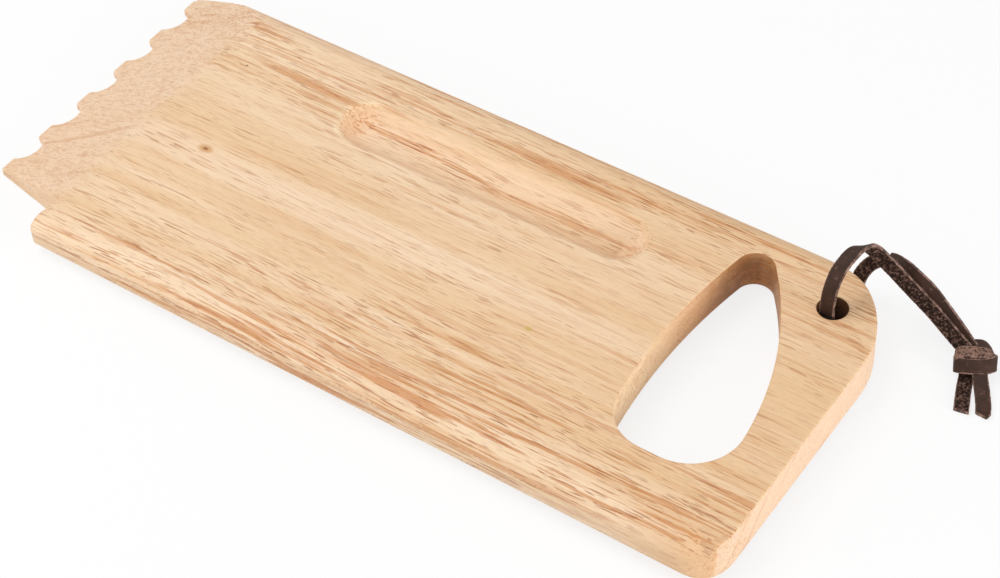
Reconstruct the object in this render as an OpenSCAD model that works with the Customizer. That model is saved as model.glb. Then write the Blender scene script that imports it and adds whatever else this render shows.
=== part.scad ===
// Wooden grill scraper: one shaped hardwood board and the leather lace it hangs by.
// The origin is the middle of the board. +X runs along the grain to the handle end,
// +Y to the long edge with the finger groove, and +Z out of the bevelled face.

/* [Board] */
// Thickness of the board
board_t = 18; // [17:0.5:22]
// Width across the two long edges
board_w = 152; // [146:1:165]
// Length from the tooth tips to the handle end
board_l = 354; // [340:1:380]
// Radius of the broad round along the upper long edges
top_round = 16; // [14:1:18]
// Reach of that round in from the long edge
top_reach = 12.5; // [9:0.5:13]
// Radius of the nose between the upper round and the side
nose_round = 4; // [2:0.5:5]
// Moulded radius of the lower long edges
under_round = 7; // [4:0.5:7]
// Plan radius of the handle corner with the hanging hole
far_corner_r = 45; // [35:1:48]
// Plan radius of the other handle corner
near_corner_r = 17; // [6:1:20]
// Width of the broken edge round both holes in the upper face
arris = 0.8; // [0.4:0.1:1.2]
// Width of the broken edge round both holes in the underside
under_arris = 0.3; // [0.2:0.1:1]

/* [Scraping edge] */
// Thickness left at the tooth tips
tip_t = 3; // [2:0.25:5]
// Length of the bevel, measured from the tips to the flat face
bevel_l = 46; // [34:1:50]
// Radius that blends the bevel into the flat face
bevel_blend_r = 50; // [10:5:80]
// Radius of each gap, which sits on one bar of a grate
gap_r = 7.2; // [6:0.1:7.6]
// Width of a tooth between two gaps
tooth_w = 9.3; // [7:0.1:10]
// Width of the tooth at the groove edge
end_tooth_w = 9.1; // [7:0.1:10]
// Least width kept at the tip of the horn
horn_tip_w = 5; // [3:0.5:7]
// Radius that eases the corners of the teeth
tooth_ease = 1.5; // [0.5:0.25:2]

/* [Corner notch] */
// Distance of the notch's inner corner from the tooth tips
notch_in = 44; // [36:1:50]
// Distance of the notch's inner corner from the near long edge
notch_up = 17.2; // [12:0.2:20]
// Turn of the square notch from the long axis, in degrees
notch_turn = 11; // [0:1:15]

/* [Finger groove] */
// Length of the scooped groove
groove_l = 145; // [100:1:160]
// Width of the groove at the face
groove_w = 25; // [18:0.5:28]
// Depth of the scoop
groove_d = 7; // [4:0.5:8]
// Distance of its middle line from the groove edge
groove_in = 36.7; // [30:0.1:45]
// Distance of its nearer end from the handle end
groove_back = 98; // [90:1:120]

/* [Hand hole] */
// Radius of the narrow end
nose_r = 7.6; // [6:0.1:9]
// Distance of the narrow end's centre from the handle end
nose_back = 57.7; // [54:0.1:62]
// Distance of the narrow end's centre from the groove edge
nose_in = 23; // [21:0.1:28]
// Radius of the wide end on the blade side
heel_r = 19.1; // [16:0.1:21]
// Radius of the wide end on the handle side
grip_r = 21.1; // [18:0.1:22]
// Distance from the narrow end's centre down to the wide end's centres
hand_reach = 78.4; // [74:0.2:80]
// Step of the wide end's blade side centre towards the handle end
heel_step = 9; // [7:0.5:13]
// Step of the wide end's handle side centre towards the handle end
grip_step = 17.6; // [15:0.1:20]
// Step of the wide end's handle side centre back towards the narrow end
grip_lift = 2; // [0:0.5:4]
// Radius of the gently bowed blade side
blade_bow_r = 250; // [180:1:400]
// Radius of the gently bowed handle side
grip_bow_r = 148; // [130:1:400]
// Radius of the bow across the wide end
heel_bow_r = 260; // [100:1:400]

/* [Hanging hole] */
// Diameter of the hanging hole
hang_d = 12; // [11.5:0.5:13]
// Distance of its axis from the handle end
hang_back = 23; // [21:0.5:28]
// Distance of its axis from the groove edge
hang_in = 25.8; // [22:0.2:32]

/* [Lace] */
// Width of the flat leather lace
lace_w = 5.8; // [4:0.1:6]
// Thickness of the leather
lace_t = 1.6; // [1.2:0.1:1.6]

/* [Hidden] */
// Overshoot of every cutter past the face it cuts
over = 1;
// Segments of an eased corner and of a full circle in the plan
ease_fn = 24;
plan_fn = 120;
top_steps = 12;
nose_steps = 8;
under_steps = 12;
x_tip = -board_l / 2;
x_end = board_l / 2;
y_far = board_w / 2;
y_near = -board_w / 2;
z_face = board_t / 2;
z_base = -board_t / 2;

// The bevel meets the flat face at this angle, and the blend's arc starts this far out
bevel_angle = atan((board_t - tip_t) / bevel_l);
blend_reach = bevel_blend_r * tan(bevel_angle / 2);
blend_steps = 8;

// The gaps fill the tip line between the groove edge and the horn
notch_x = x_tip + notch_in;
notch_y = y_near + notch_up;
horn_y = notch_y + notch_in * tan(notch_turn);
gap_pitch = 2 * gap_r + tooth_w;
gap_count = floor((y_far - horn_y - end_tooth_w - horn_tip_w + tooth_w) / gap_pitch);
first_gap_y = y_far - end_tooth_w - gap_r;

// A round cutter of this radius leaves a scoop of the stated width and depth
scoop_r = (pow(groove_w / 2, 2) + pow(groove_d, 2)) / (2 * groove_d);

// The hand hole's three corner circles, each as [x, y, radius], anticlockwise
nose = [x_end - nose_back, y_far - nose_in, nose_r];
heel = [nose[0] + heel_step, nose[1] - hand_reach, heel_r];
grip = [nose[0] + grip_step, nose[1] - hand_reach + grip_lift, grip_r];
hand_corners = [nose, heel, grip];
hand_bows = [blade_bow_r, heel_bow_r, grip_bow_r];
corner_steps = 14;
bow_steps = 12;

// The lace's route from the middle of the hanging hole over the board to the knot.
// Each point is [x, y, z, turn], where turn tips the lace's width up from the X axis.
OVER_ROUTE = [
    [153.4, 49.6, 0, 0], [153.4, 48.2, 3.8, 0], [153.4, 47, 8, 0], [153.4, 46.8, 11, 0],
    [153.4, 47.1, 14.6, 0], [153.3, 48.3, 18.6, 0], [153.4, 50.4, 22.6, 0],
    [153.8, 53.6, 26.1, 4], [154.7, 57.2, 28.6, 10], [156.2, 61.8, 30.4, 20],
    [158.1, 66, 29.5, 34], [160.4, 69.2, 25.6, 46], [163.6, 71.2, 20.6, 54],
    [168, 72.4, 15.8, 58], [172.9, 73.1, 11.1, 60], [178.5, 73.1, 7.1, 62],
    [184.9, 72.5, 3.3, 64], [191.4, 71.3, -0.5, 64], [196.5, 70.2, -3.1, 62],
    [200.7, 69.2, -5.1, 60]
];
// Its route from the same point under the board and up round the corner to the knot
UNDER_ROUTE = [
    [153.3, 51.4, -4, 0], [153.2, 52.5, -7.6, 0], [153.1, 53.6, -9.6, 0],
    [153, 56.2, -10.15, 0], [152.6, 62, -10.15, 0], [152.2, 68.4, -10.15, 0],
    [151.9, 72.6, -9.9, 0], [151.7, 74.3, -8.4, 0], [151.6, 74.8, -5.2, 0],
    [151.7, 74.6, -1.8, 0], [152.1, 75, 1.8, 2], [153.2, 76.4, 5.4, 4],
    [155.4, 78.2, 8.8, 8], [158.7, 79.4, 11.4, 14], [163.1, 79.8, 12.8, 24],
    [168.5, 78.7, 13.2, 38], [174.3, 77.5, 11.8, 54], [180.1, 76.8, 9.1, 66],
    [185.8, 75.9, 4.9, 70], [192.4, 74.5, 0.2, 68], [197.3, 73.1, -3, 64],
    [200.3, 72, -4.8, 60], [202.8, 71, -6.1, 56]
];
// Direction that the lace's width tips towards as its turn grows
LACE_LEAN = [0, 0.55, 0.83];
// The two tails from the knot to their cut ends
LEFT_TAIL = [
    [204.3, 64.8, -7.5, 0], [205.7, 59.9, -9.6, 4], [207.3, 55.3, -10, 2],
    [209.2, 50.4, -10.1, 0], [211.1, 45.8, -10.1, 0]
];
RIGHT_TAIL = [
    [208.1, 65.1, -6, 0], [211.7, 59.8, -7.5, 0], [214.4, 56.2, -9.4, 0],
    [216.8, 52.3, -10.1, 0], [219, 47.7, -10.1, 0]
];
// Centres and radii of the round lumps that the knot's turns fill
KNOT_LUMPS = [
    [202.2, 65.1, -6.6, 4.3], [209.3, 69.5, -6.6, 4.3], [202.8, 70.4, -6, 3.8],
    [205.4, 73.4, -5.2, 3.4]
];
knot_fn = 20;

// The routes above fit a hole's middle, a point of the corner's edge and a half thickness
// of board at these places. The edge point lies this far from the handle end.
ROUTE_HOLE = [154, 50.2];
ROUTE_EDGE = [152, 71.31];
ROUTE_HALF_T = 9;
edge_back = 25;
// Up to the first point a route goes with the hole, and past the second with the edge
ROUTE_NEAR = [160, 54];
ROUTE_FAR = [170, 71];
hole_move = [x_end - hang_back - ROUTE_HOLE[0], y_far - hang_in - ROUTE_HOLE[1]];
edge_y = y_far - far_corner_r + sqrt(pow(far_corner_r, 2) - pow(far_corner_r - edge_back, 2));
edge_move = [x_end - edge_back - ROUTE_EDGE[0], edge_y - ROUTE_EDGE[1]];
face_move = board_t / 2 - ROUTE_HALF_T;

function unit(v) = v / norm(v);
function place(p) = [p[0], p[1], p[2]];
function held(v, low = 0, high = 1) = max(low, min(high, v));

// Point p of a route, moved with the hole, the corner's edge and the board's faces
function moved(p) =
    let (
        share = max([for (i = [0, 1]) held((p[i] - ROUTE_NEAR[i]) / (ROUTE_FAR[i] - ROUTE_NEAR[i]))]),
        step = (1 - share) * hole_move + share * edge_move
    )
    [p[0] + step[0], p[1] + step[1], p[2] + face_move * held(p[2] / ROUTE_HALF_T, -1), p[3]];

// Points of an arc round centre c, from angle a to angle b, without its last point
function arc(c, r, a, b, steps) = [
    for (i = [0 : steps - 1])
        let (t = a + (b - a) * i / steps) [c[0] + r * cos(t), c[1] + r * sin(t)]
];

// Centre of an arc of radius r that touches corner circles a and b from outside them
function bow_centre(a, b, r) =
    let (
        d = norm([b[0] - a[0], b[1] - a[1]]),
        u = [b[0] - a[0], b[1] - a[1]] / d,
        m = (d * d + pow(r - a[2], 2) - pow(r - b[2], 2)) / (2 * d),
        h = sqrt(pow(r - a[2], 2) - m * m)
    )
    [a[0] + m * u[0] - h * u[1], a[1] + m * u[1] + h * u[0]];

function heading(a, b) = atan2(b[1] - a[1], b[0] - a[0]);
function after(angle, start) = angle < start ? after(angle + 360, start) : angle;

// Outline of the hand hole, moved out by grow: each corner's arc and the bow after it
function hand_outline(grow = 0) = [
    for (i = [0 : 2])
        let (
            c = hand_corners[i],
            next = hand_corners[(i + 1) % 3],
            last_bow = bow_centre(hand_corners[(i + 2) % 3], c, hand_bows[(i + 2) % 3]),
            bow = bow_centre(c, next, hand_bows[i]),
            start = heading(last_bow, c),
            turn = after(heading(bow, c), start),
            stop = after(heading(bow, next), turn)
        )
        each concat(
            arc(c, c[2] + grow, start, turn, corner_steps),
            arc(bow, hand_bows[i] + grow, turn, stop, bow_steps)
        )
];

// Closed solid through rings of equal point counts, each ring listed anticlockwise from above
module skin(rings) {
    n = len(rings[0]);
    last = len(rings) - 1;
    polyhedron(
        points = [for (ring = rings) each ring],
        faces = concat(
            [[for (i = [0 : n - 1]) i]],
            [[for (i = [n - 1 : -1 : 0]) last * n + i]],
            [for (k = [0 : last - 1], i = [0 : n - 1])
                let (j = (i + 1) % n) [k * n + j, k * n + i, (k + 1) * n + i, (k + 1) * n + j]]
        ),
        convexity = 4
    );
}

// Half of the moulded section as [y, z]: broad upper round, nose and lower round
nose_z = z_face - top_round + sqrt(pow(top_round - nose_round, 2) - pow(top_reach - nose_round, 2));
nose_turn = heading([y_far - top_reach, z_face - top_round], [y_far - nose_round, nose_z]);
half_section = concat(
    arc([y_far - top_reach, z_face - top_round], top_round, 90, nose_turn, top_steps),
    arc([y_far - nose_round, nose_z], nose_round, nose_turn, 0, nose_steps),
    arc([y_far - under_round, z_base + under_round], under_round, 0, -90, under_steps),
    [[y_far - under_round, z_base]]
);

// Section moulded along both long edges, with y across and z up
module moulding() {
    last = len(half_section) - 1;
    polygon(concat(half_section, [for (i = [last : -1 : 0]) [-half_section[i][0], half_section[i][1]]]));
}

// Plan of the board: square at the blade, rounded at the handle end
module plan() {
    offset(r = tooth_ease, $fn = ease_fn) offset(delta = -tooth_ease) difference() {
        hull() {
            translate([x_tip, y_near]) square([board_l / 2, board_w]);
            translate([x_end - far_corner_r, y_far - far_corner_r])
                circle(r = far_corner_r, $fn = plan_fn);
            translate([x_end - near_corner_r, y_near + near_corner_r])
                circle(r = near_corner_r, $fn = plan_fn);
        }
        for (i = [0 : gap_count - 1])
            translate([x_tip, first_gap_y - i * gap_pitch]) circle(r = gap_r, $fn = 56);
        translate([notch_x, notch_y]) rotate(-notch_turn)
            translate([-2 * notch_in, -2 * notch_in]) square(2 * notch_in);
    }
}

// Wedge above the bevel, with the blend's arc where it runs out into the flat face
module bevel_cutter() {
    blend_x = x_tip + bevel_l + blend_reach;
    rotate([90, 0, 0]) linear_extrude(board_w + 2 * over, center = true) polygon(concat(
        [[x_tip - over, z_base + tip_t - over * tan(bevel_angle)]],
        [for (i = [0 : blend_steps])
            let (t = 90 + bevel_angle * (1 - i / blend_steps))
            [blend_x + bevel_blend_r * cos(t), z_face - bevel_blend_r + bevel_blend_r * sin(t)]],
        [[blend_x, z_face + over], [x_tip - over, z_face + over]]
    ));
}

// Round-ended scoop, turned about its own long axis
module groove_cutter() {
    straight = groove_l - groove_w;
    translate([x_end - groove_back - groove_l / 2, y_far - groove_in, z_face - groove_d + scoop_r])
        rotate([0, 90, 0]) rotate_extrude($fn = 96) intersection() {
            union() {
                for (side = [-1, 1])
                    translate([0, side * straight / 2]) circle(r = scoop_r, $fn = 96);
                translate([0, -straight / 2]) square([scoop_r, straight]);
            }
            translate([0, -groove_l]) square([scoop_r + over, 2 * groove_l]);
        }
}

// Hand hole with both rims broken at 45 degrees
module hand_cutter() {
    skin([for (s = [
            [z_base - over, under_arris + over],
            [z_base + under_arris, 0],
            [z_face - arris, 0],
            [z_face + over, arris + over]
        ]) [for (p = hand_outline(s[1])) [p[0], p[1], s[0]]]]);
}

// Hanging hole with both rims broken at 45 degrees
module hang_cutter() {
    translate([x_end - hang_back, y_far - hang_in, 0]) {
        cylinder(d = hang_d, h = board_t + 2 * over, center = true, $fn = 64);
        for (rim = [[0, arris], [1, under_arris]])
            mirror([0, 0, rim[0]]) translate([0, 0, z_face - rim[1]])
                cylinder(d1 = hang_d, d2 = hang_d + 2 * (rim[1] + over), h = rim[1] + over, $fn = 64);
    }
}

module board() {
    color("burlywood") difference() {
        intersection() {
            rotate([90, 0, 90]) linear_extrude(board_l + 2 * over, center = true) moulding();
            linear_extrude(board_t + 2 * over, center = true) plan();
        }
        bevel_cutter();
        groove_cutter();
        hand_cutter();
        hang_cutter();
    }
}

// Section of the lace as [across its width, through its thickness], corners eased
lace_ease = lace_t / 3;
lace_section = [
    for (c = [[1, -1], [1, 1], [-1, 1], [-1, -1]], k = [0, 1])
        let (first = (c[0] * c[1] < 0) == (k == 0))
        [c[0] * (lace_w / 2 - (first ? lace_ease : 0)), c[1] * (lace_t / 2 - (first ? 0 : lace_ease))]
];

// Direction of the route at point i, from its neighbours
function along(route, i) =
    unit(place(route[min(i + 1, len(route) - 1)]) - place(route[max(i - 1, 0)]));

// Direction of the lace's width at point i: tipped by the point's turn, square to the route
function across(route, i) =
    let (
        t = along(route, i),
        w = cos(route[i][3]) * [1, 0, 0] + sin(route[i][3]) * LACE_LEAN
    )
    unit(w - (w * t) * t);

module lace_run(route) {
    skin([for (i = [0 : len(route) - 1])
        let (w = across(route, i), n = cross(along(route, i), w))
        [for (s = lace_section) place(route[i]) + s[0] * w + s[1] * n]]);
}

module lace() {
    color("saddlebrown") {
        loop = concat([for (i = [len(OVER_ROUTE) - 1 : -1 : 0]) OVER_ROUTE[i]], UNDER_ROUTE);
        for (route = [loop, LEFT_TAIL, RIGHT_TAIL])
            lace_run([for (p = route) moved(p)]);
        hull() for (lump = KNOT_LUMPS)
            translate(place(moved(lump))) sphere(r = lump[3], $fn = knot_fn);
    }
}

board();
lace();
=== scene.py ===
"""Dressed model of a wooden grill scraper with a leather hanging lace.

The board is one solid of pale hardwood with a toothed bevelled edge, a turned notch, a
scooped finger groove, a shaped hand hole and a hanging hole. A flat leather lace goes
through the hanging hole and is tied in one overhand knot. All sizes are in millimetres
in the fields below and become metres when a mesh is made.
"""

import logging
import math
from dataclasses import dataclass, field
from enum import Enum
from typing import Any, Mapping, Optional, Sequence, Union

import bpy
import numpy as np
from mathutils import Matrix, Vector, noise
from mathutils.geometry import delaunay_2d_cdt


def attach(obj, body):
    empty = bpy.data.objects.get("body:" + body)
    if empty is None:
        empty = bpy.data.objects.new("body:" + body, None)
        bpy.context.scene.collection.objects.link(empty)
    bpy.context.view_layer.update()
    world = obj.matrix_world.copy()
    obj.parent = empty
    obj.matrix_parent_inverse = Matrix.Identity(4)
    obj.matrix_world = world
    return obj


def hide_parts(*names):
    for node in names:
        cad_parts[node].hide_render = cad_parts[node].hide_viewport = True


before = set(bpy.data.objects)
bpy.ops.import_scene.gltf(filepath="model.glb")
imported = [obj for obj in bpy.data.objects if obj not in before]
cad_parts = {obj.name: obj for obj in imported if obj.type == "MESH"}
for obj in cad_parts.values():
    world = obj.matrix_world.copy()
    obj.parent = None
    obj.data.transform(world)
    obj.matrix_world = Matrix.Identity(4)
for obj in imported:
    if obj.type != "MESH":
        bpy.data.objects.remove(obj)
LOG = logging.getLogger("grill_scraper")
MM = 0.001
CHUNK = 2000
Points = np.ndarray
Colour = tuple[float, float, float]
Triple = tuple[float, float, float]
Run = list[tuple[float, float]]
Route = tuple[tuple[float, ...], ...]


# Shader expressions

class Socket:
    """One output socket of a shader tree that Python expressions can be written on."""

    def __init__(self, tree: "ShaderTree", socket: bpy.types.NodeSocket) -> None:
        """Keeps the socket and its tree.

        Args:
            tree: the tree that new nodes are added to.
            socket: the output socket that is wrapped.
        """
        self.tree = tree
        self.socket = socket

    def maths(self, operation: str, *values: "Operand") -> "Socket":
        """Adds one Math node.

        Args:
            operation: the node's operation.
            values: sockets or numbers for its inputs, in order.

        Returns:
            The node's result.
        """
        return self.tree.node("ShaderNodeMath", {"operation": operation}, dict(enumerate(values)))

    def __add__(self, other: "Operand") -> "Socket":
        """Sum."""
        return self.maths("ADD", self, other)

    def __radd__(self, other: "Operand") -> "Socket":
        """Sum with a number on the left."""
        return self.maths("ADD", other, self)

    def __sub__(self, other: "Operand") -> "Socket":
        """Difference."""
        return self.maths("SUBTRACT", self, other)

    def __rsub__(self, other: "Operand") -> "Socket":
        """Difference with a number on the left."""
        return self.maths("SUBTRACT", other, self)

    def __mul__(self, other: "Operand") -> "Socket":
        """Product."""
        return self.maths("MULTIPLY", self, other)

    def __rmul__(self, other: "Operand") -> "Socket":
        """Product with a number on the left."""
        return self.maths("MULTIPLY", other, self)

    def __truediv__(self, other: "Operand") -> "Socket":
        """Quotient."""
        return self.maths("DIVIDE", self, other)

    def __rtruediv__(self, other: "Operand") -> "Socket":
        """Quotient of a number on the left."""
        return self.maths("DIVIDE", other, self)

    def power(self, exponent: "Operand") -> "Socket":
        """This value raised to a power."""
        return self.maths("POWER", self, exponent)

    def between(self, low: float, high: float) -> "Socket":
        """Smooth mask of this value.

        Args:
            low: the value at which the mask is 0.
            high: the value at which the mask is 1. It may be under low.

        Returns:
            A value from 0 to 1.
        """
        settings = {"interpolation_type": "SMOOTHSTEP"}
        if low <= high:
            return self.tree.node(
                "ShaderNodeMapRange", settings, {"Value": self, "From Min": low, "From Max": high}
            )
        return 1.0 - self.between(high, low)


Operand = Union[Socket, float]


class ShaderTree:
    """The node tree of one material or world."""

    def __init__(self, owner: Union[bpy.types.Material, bpy.types.World]) -> None:
        """Empties the tree.

        Args:
            owner: the material or world that the tree belongs to.
        """
        owner.use_nodes = True
        self.owner = owner
        self.nodes = owner.node_tree.nodes
        self.links = owner.node_tree.links
        self.nodes.clear()

    def put(self, target: bpy.types.NodeSocket, value: Any) -> None:
        """Links or sets one input socket.

        Args:
            target: the input socket.
            value: a Socket to link, or a number, colour or vector to set.
        """
        if isinstance(value, Socket):
            self.links.new(value.socket, target)
        elif target.type == "RGBA":
            target.default_value = (*value[:3], 1.0)
        else:
            target.default_value = value

    def node(
        self,
        kind: str,
        settings: Optional[Mapping[str, Any]] = None,
        inputs: Optional[Mapping[Union[str, int], Any]] = None,
        output: Union[str, int] = 0,
    ) -> Socket:
        """Adds one node.

        Args:
            kind: the node's type.
            settings: the node's own properties.
            inputs: sockets, numbers, colours or vectors by input name or place.
            output: the output that is handed back.

        Returns:
            That output.
        """
        made = self.nodes.new(kind)
        for name, value in (settings or {}).items():
            setattr(made, name, value)
        for name, value in (inputs or {}).items():
            self.put(made.inputs[name], value)
        return Socket(self, made.outputs[output] if len(made.outputs) else None)

    def scaled(self, vector: Socket, scale: Triple) -> Socket:
        """Stretches a vector by one number an axis."""
        settings = {"operation": "MULTIPLY"}
        return self.node("ShaderNodeVectorMath", settings, {0: vector, 1: scale})

    def split(self, vector: Socket) -> tuple[Socket, ...]:
        """The three parts of a vector."""
        made = self.node("ShaderNodeSeparateXYZ", {}, {0: vector}).socket.node
        return tuple(Socket(self, output) for output in made.outputs)

    def joined(self, x: Operand, y: Operand, z: Operand) -> Socket:
        """Makes a vector of three values."""
        return self.node("ShaderNodeCombineXYZ", {}, {0: x, 1: y, 2: z})

    def noise(
        self, vector: Socket, scale: float = 1.0, detail: float = 2.0, rough: float = 0.5
    ) -> Socket:
        """Noise from 0 to 1 at a place.

        Args:
            vector: the place.
            scale: waves for each unit.
            detail: octaves.
            rough: strength of the finer octaves.

        Returns:
            The noise value.
        """
        return self.node(
            "ShaderNodeTexNoise",
            {"noise_dimensions": "3D"},
            {"Vector": vector, "Scale": scale, "Detail": detail, "Roughness": rough},
        )

    def mixed(self, factor: Operand, under: Any, over: Any) -> Socket:
        """Mixes two colours.

        Args:
            factor: share of the upper colour.
            under: the lower colour or socket.
            over: the upper colour or socket.

        Returns:
            The mixed colour.
        """
        settings = {"data_type": "RGBA", "blend_type": "MIX", "clamp_factor": True}
        return self.node("ShaderNodeMix", settings, {0: factor, 6: under, 7: over}, output=2)

    def bump(self, height: Socket, depth: float, strength: float = 1.0) -> Socket:
        """Normal from a height value.

        Args:
            height: the height, from 0 to 1.
            depth: the depth in metres that 1 stands for.
            strength: the share of the effect.

        Returns:
            The bent normal.
        """
        return self.node(
            "ShaderNodeBump", {}, {"Height": height, "Distance": depth, "Strength": strength}
        )

    def shade(self, **sockets: Any) -> bpy.types.Material:
        """Ends the tree with the Principled shader.

        Args:
            sockets: values or links by socket name, with underscores for spaces.

        Returns:
            The finished material.
        """
        named = {name.replace("_", " "): value for name, value in sockets.items()}
        shader = self.node("ShaderNodeBsdfPrincipled", {}, named)
        self.node("ShaderNodeOutputMaterial", {}, {"Surface": shader})
        return self.owner

    def seen(self) -> Socket:
        """Mask of the rays that show a surface to the eye.

        Returns:
            1 for rays from the camera, from a mirror and through glass, and 0 for the rest.
        """
        camera, mirror, glass = (
            self.node("ShaderNodeLightPath", output=f"Is {kind} Ray")
            for kind in ("Camera", "Glossy", "Transmission")
        )
        return camera.maths("MAXIMUM", camera.maths("MAXIMUM", camera, mirror), glass)


def tone(red: int, green: int, blue: int) -> Colour:
    """Turns a display colour into the linear colour that shows it.

    Args:
        red: the red channel, 0 to 255.
        green: the green channel, 0 to 255.
        blue: the blue channel, 0 to 255.

    Returns:
        The linear colour.
    """
    def linear(channel: int) -> float:
        """One channel as linear light."""
        value = channel / 255
        return value / 12.92 if value <= 0.04045 else ((value + 0.055) / 1.055) ** 2.4

    return (linear(red), linear(green), linear(blue))


# Finishes

@dataclass(frozen=True)
class Mark:
    """A small mark on the upper face: its place and radius in millimetres, and its colour."""

    x: float
    y: float
    radius: float
    colour: Colour


@dataclass(frozen=True)
class Figure:
    """One layer of the wood's figure: noise drawn out along the grain, cut to a soft mask.

    Its scales are waves for each metre. Its mask goes from 0 at `low` to 1 at `high`. Its
    strength is `plain`, with more where the figure clumps, crowds or is cut across, and
    `fade` is the share that is lost where the grain is cut across.
    """

    along: float
    across: float
    low: float
    high: float
    colour: Optional[Colour] = None
    detail: float = 1.0
    rough: float = 0.55
    plain: float = 0.0
    clumped: float = 0.0
    crowded: float = 0.0
    cut: float = 0.0
    fade: float = 0.66


class WoodPlace:
    """A point of the board's surface as sockets, with masks that tell where it lies."""

    def __init__(self, tree: ShaderTree, finish: "WoodFinish", board: "Board") -> None:
        """Works out the point's place in the grain and on the board.

        Args:
            tree: the wood's tree.
            finish: the wood's finish.
            board: the board, whose sizes place the masks.
        """
        point = tree.node("ShaderNodeTexCoord", output="Object")
        self.tree, self.board = tree, board
        self.x, self.y, self.z = tree.split(point)
        self.facing = tree.split(tree.node("ShaderNodeNewGeometry", output="Normal"))
        self.wander = (tree.noise(tree.scaled(point, finish.sway_waves)) - 0.5) * finish.sway
        self.side, self.up = self.y + self.wander, self.z + self.wander * 0.7
        over, rise = self.side - finish.pith_y, self.up - finish.pith_z
        self.ring = (over * over + rise * rise).power(0.5) / finish.ring_width
        self.steep = (self.facing[2] * self.facing[2]).between(0.35, 0.10)
        hang_x, hang_y, radius = board.hang
        wall = self.away(hang_x, hang_y).between((radius + 1.4) * MM, (radius + 1.0) * MM)
        self.bore = self.steep * wall
        self.hole = self.hand_hole(*finish.hand_box)
        sloped = self.facing[0] * self.facing[0]
        self.end = sloped.between(0.66, 0.74) * self.along(150, 154) * (1.0 - self.hole)
        blade = (self.x + self.wander * 2.0).between(*finish.blade_fade)
        self.cut = (sloped.between(0.0005, 0.09) * blade + self.end) * (1.0 - self.bore)
        self.clump = self.mask(finish.clumps)
        edges = self.across(28, 52) + self.across(-20, -60) * 0.8
        self.crowd = self.mask(finish.crowds) * (0.14 + edges * 0.86)

    def along(self, low: float, high: float) -> Socket:
        """Mask that goes from 0 at one X to 1 at the other, both in millimetres."""
        return self.x.between(low * MM, high * MM)

    def across(self, low: float, high: float) -> Socket:
        """Mask that goes from 0 at one Y to 1 at the other, both in millimetres."""
        return self.y.between(low * MM, high * MM)

    def mask(self, figure: Figure) -> Socket:
        """Soft mask of one layer of the figure.

        Args:
            figure: the layer.

        Returns:
            A value from 0 to 1.
        """
        along, across = figure.along, figure.across
        place = self.tree.joined(self.x * along, self.side * across, self.up * across)
        value = self.tree.noise(place, detail=figure.detail, rough=figure.rough)
        return value.between(figure.low, figure.high)

    def strength(self, figure: Figure) -> Socket:
        """Strength of one layer of the figure at this place."""
        more = self.clump * figure.clumped + self.crowd * figure.crowded + self.cut * figure.cut
        return (more + figure.plain) * (1.0 - self.cut * figure.fade)

    def away(self, x: float, y: float, squash: float = 1.0) -> Socket:
        """Distance in the plan from a point.

        Args:
            x: the point's X in millimetres.
            y: the point's Y in millimetres.
            squash: what a distance across the grain counts for.

        Returns:
            The distance in metres.
        """
        over, up = self.x - x * MM, (self.y - y * MM) * squash
        return (over * over + up * up).power(0.5)

    def hand_hole(self, *limits: tuple[float, float]) -> Socket:
        """Mask of the hand hole's wall.

        Args:
            limits: soft limits in millimetres: two along the board, then two across it.

        Returns:
            1 on the wall.
        """
        inside = self.along(*limits[0]) * self.along(*limits[1])
        return self.steep * inside * self.across(*limits[2]) * self.across(*limits[3])

    def from_groove(self) -> Socket:
        """Distance in the plan from the middle line of the groove.

        Returns:
            The distance in metres.
        """
        board = self.board
        out = self.x - board.groove_x * MM
        past = (out * out).power(0.5) - board.groove_half * MM
        past = past.maths("MAXIMUM", past, 0.0)
        up = self.y - board.groove_y * MM
        return (past * past + up * up).power(0.5)


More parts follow.
